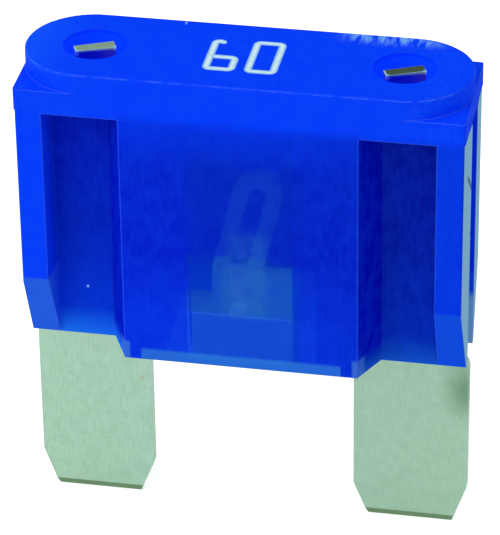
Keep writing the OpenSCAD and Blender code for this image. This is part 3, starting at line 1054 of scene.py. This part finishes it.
# %% Material: rating ink
INK_WHITE = swatch(206, 238, 240)
INK_THIN = swatch(86, 158, 240)
RIM_STARTS = 0.15
RIM_FULL = 0.95
RIM_SHARE = 0.8
STARVED_SHARE = 0.45
FILM_MM = 0.01
FILM_STRENGTH = 0.2
ink, tree, ink_surface = new_material("white_rating_ink")
place = use_group(tree, position_group)["Position"]
across = add(tree, "Attribute", attribute_name="across").outputs["Fac"]
rim = rise(tree, across, RIM_STARTS, RIM_FULL)
starved = clouds(tree, place, Scale=3.5, Low=0.5, High=0.75)
thinned = either(tree, times(tree, rim, RIM_SHARE), times(tree, starved, STARVED_SHARE))
colour = lay_over(tree, INK_WHITE, INK_THIN, thinned)
film = add(tree, "Bump", {
    "Height": starved, "Strength": FILM_STRENGTH, "Distance": FILM_MM * MM})
ink_film = add(tree, "BsdfPrincipled", {
    "Base Color": colour, "Roughness": 0.55, "Specular IOR Level": 0.2, "Normal": film.outputs[0],
})
tree.links.new(ink_film.outputs[0], ink_surface)
print_mesh.materials.append(ink)
print("rating ink:", len(tree.nodes), "nodes")

# %% [markdown]
# ## The white table
# The portrait has a plain white ground. A table and a backdrop could be lit until they burn out,
# but that light would fall on the fuse as well. Here the table is a white sheet that is lit like
# everything else, so that it keeps the soft shadow under the blades, with a faint glow of its own
# for the camera, mirrors and clear plastic only, which lifts it to clean white. From below the
# sheet is open, so that the fuse can be looked at from there too.

# %% Build the table
TABLE_HALF = 1.5
TABLE_DROP = 0.02
TABLE_CORNERS = ((-1, -1), (1, -1), (1, 1), (-1, 1))
SHEET_WHITE = (0.92, 0.92, 0.92, 1)
WHITE = (1, 1, 1, 1)
GLOW = 0.5
sheet_mesh = bpy.data.meshes.new("white_table")
sheet_mesh.from_pydata(
    [(x * TABLE_HALF, y * TABLE_HALF, -TABLE_DROP * MM) for x, y in TABLE_CORNERS],
    [], [(0, 1, 2, 3)])
table = bpy.data.objects.new("white_table", sheet_mesh)
bpy.context.scene.collection.objects.link(table)
white, tree, white_surface = new_material("white_sheet")
paper = add(tree, "BsdfDiffuse", {"Color": SHEET_WHITE})
ray = add(tree, "LightPath").outputs
seen = either(tree, either(tree, ray["Is Camera Ray"], ray["Is Glossy Ray"]),
              ray["Is Transmission Ray"])
glow = add(tree, "Emission", {"Color": WHITE, "Strength": times(tree, seen, GLOW)})
lifted = add(tree, "AddShader", {0: paper.outputs[0], 1: glow.outputs[0]})
from_below = add(tree, "NewGeometry").outputs["Backfacing"]
nothing = add(tree, "BsdfTransparent")
one_sided = add(tree, "MixShader", {0: from_below, 1: lifted.outputs[0], 2: nothing.outputs[0]})
tree.links.new(one_sided.outputs[0], white_surface)
sheet_mesh.materials.append(white)
print("table set")

# %% [markdown]
# ## Even light
# The fuse stands in a light tent, with even white light from all round. It could be built from
# sheets and lamps, but the world gives the same light with less noise. The camera and clear plastic
# see it plain white, and what a gloss mirrors is set apart: white near the table, and a darker
# ceiling, so that the crown's trace of gloss doesn't wash out its pure blue.

# %% World
EVEN_LIGHT = 0.74
CEILING = 0.1
CEILING_STARTS = 0.2
CEILING_FULL = 0.5
world = bpy.data.worlds.new("light_tent")
bpy.context.scene.world = world
world.use_nodes = True
tree = world.node_tree
tree.nodes.clear()
even = add(tree, "Background", {"Color": WHITE, "Strength": EVEN_LIGHT})
upward = add(tree, "SeparateXYZ", {0: add(tree, "TexCoord").outputs["Generated"]}).outputs["Z"]
ceiling = add(tree, "MapRange", {
    "Value": upward, "From Min": CEILING_STARTS, "From Max": CEILING_FULL,
    "To Min": 1.0, "To Max": CEILING,
}, interpolation_type="SMOOTHSTEP").outputs[0]
mirrored = add(tree, "Background", {"Color": WHITE, "Strength": ceiling})
plain = add(tree, "Background", {"Color": WHITE, "Strength": 1.0})
ray = add(tree, "LightPath").outputs
with_gloss = add(tree, "MixShader", {
    0: ray["Is Glossy Ray"], 1: even.outputs[0], 2: mirrored.outputs[0]})
straight = either(tree, ray["Is Camera Ray"], ray["Is Transmission Ray"])
seen = add(tree, "MixShader", {0: straight, 1: with_gloss.outputs[0], 2: plain.outputs[0]})
sky = tree.nodes.new("ShaderNodeOutputWorld")
tree.links.new(seen.outputs[0], sky.inputs["Surface"])
print("world ready")

# %% [markdown]
# ## The lamp
# Even light alone would leave the faces flat. One large soft lamp at the front left gives them
# their slight differences. A small lamp would do that too, but its shadows would be hard.

# %% Lamp
LAMP_PLACE = Vector((-0.42, -0.4, 0.62))
LAMP_SIZE = 0.6
LAMP_WATTS = 2.6
lamp_data = bpy.data.lights.new("front_left_lamp", "AREA")
lamp_data.shape = "DISK"
lamp_data.size = LAMP_SIZE
lamp_data.energy = LAMP_WATTS
lamp = bpy.data.objects.new("front_left_lamp", lamp_data)
lamp.location = LAMP_PLACE
lamp.rotation_mode = "QUATERNION"
lamp.rotation_quaternion = (AIM - LAMP_PLACE).to_track_quat("-Z", "Y")
bpy.context.scene.collection.objects.link(lamp)
bpy.context.scene.view_settings.view_transform = "Standard"
print("lamp ready")
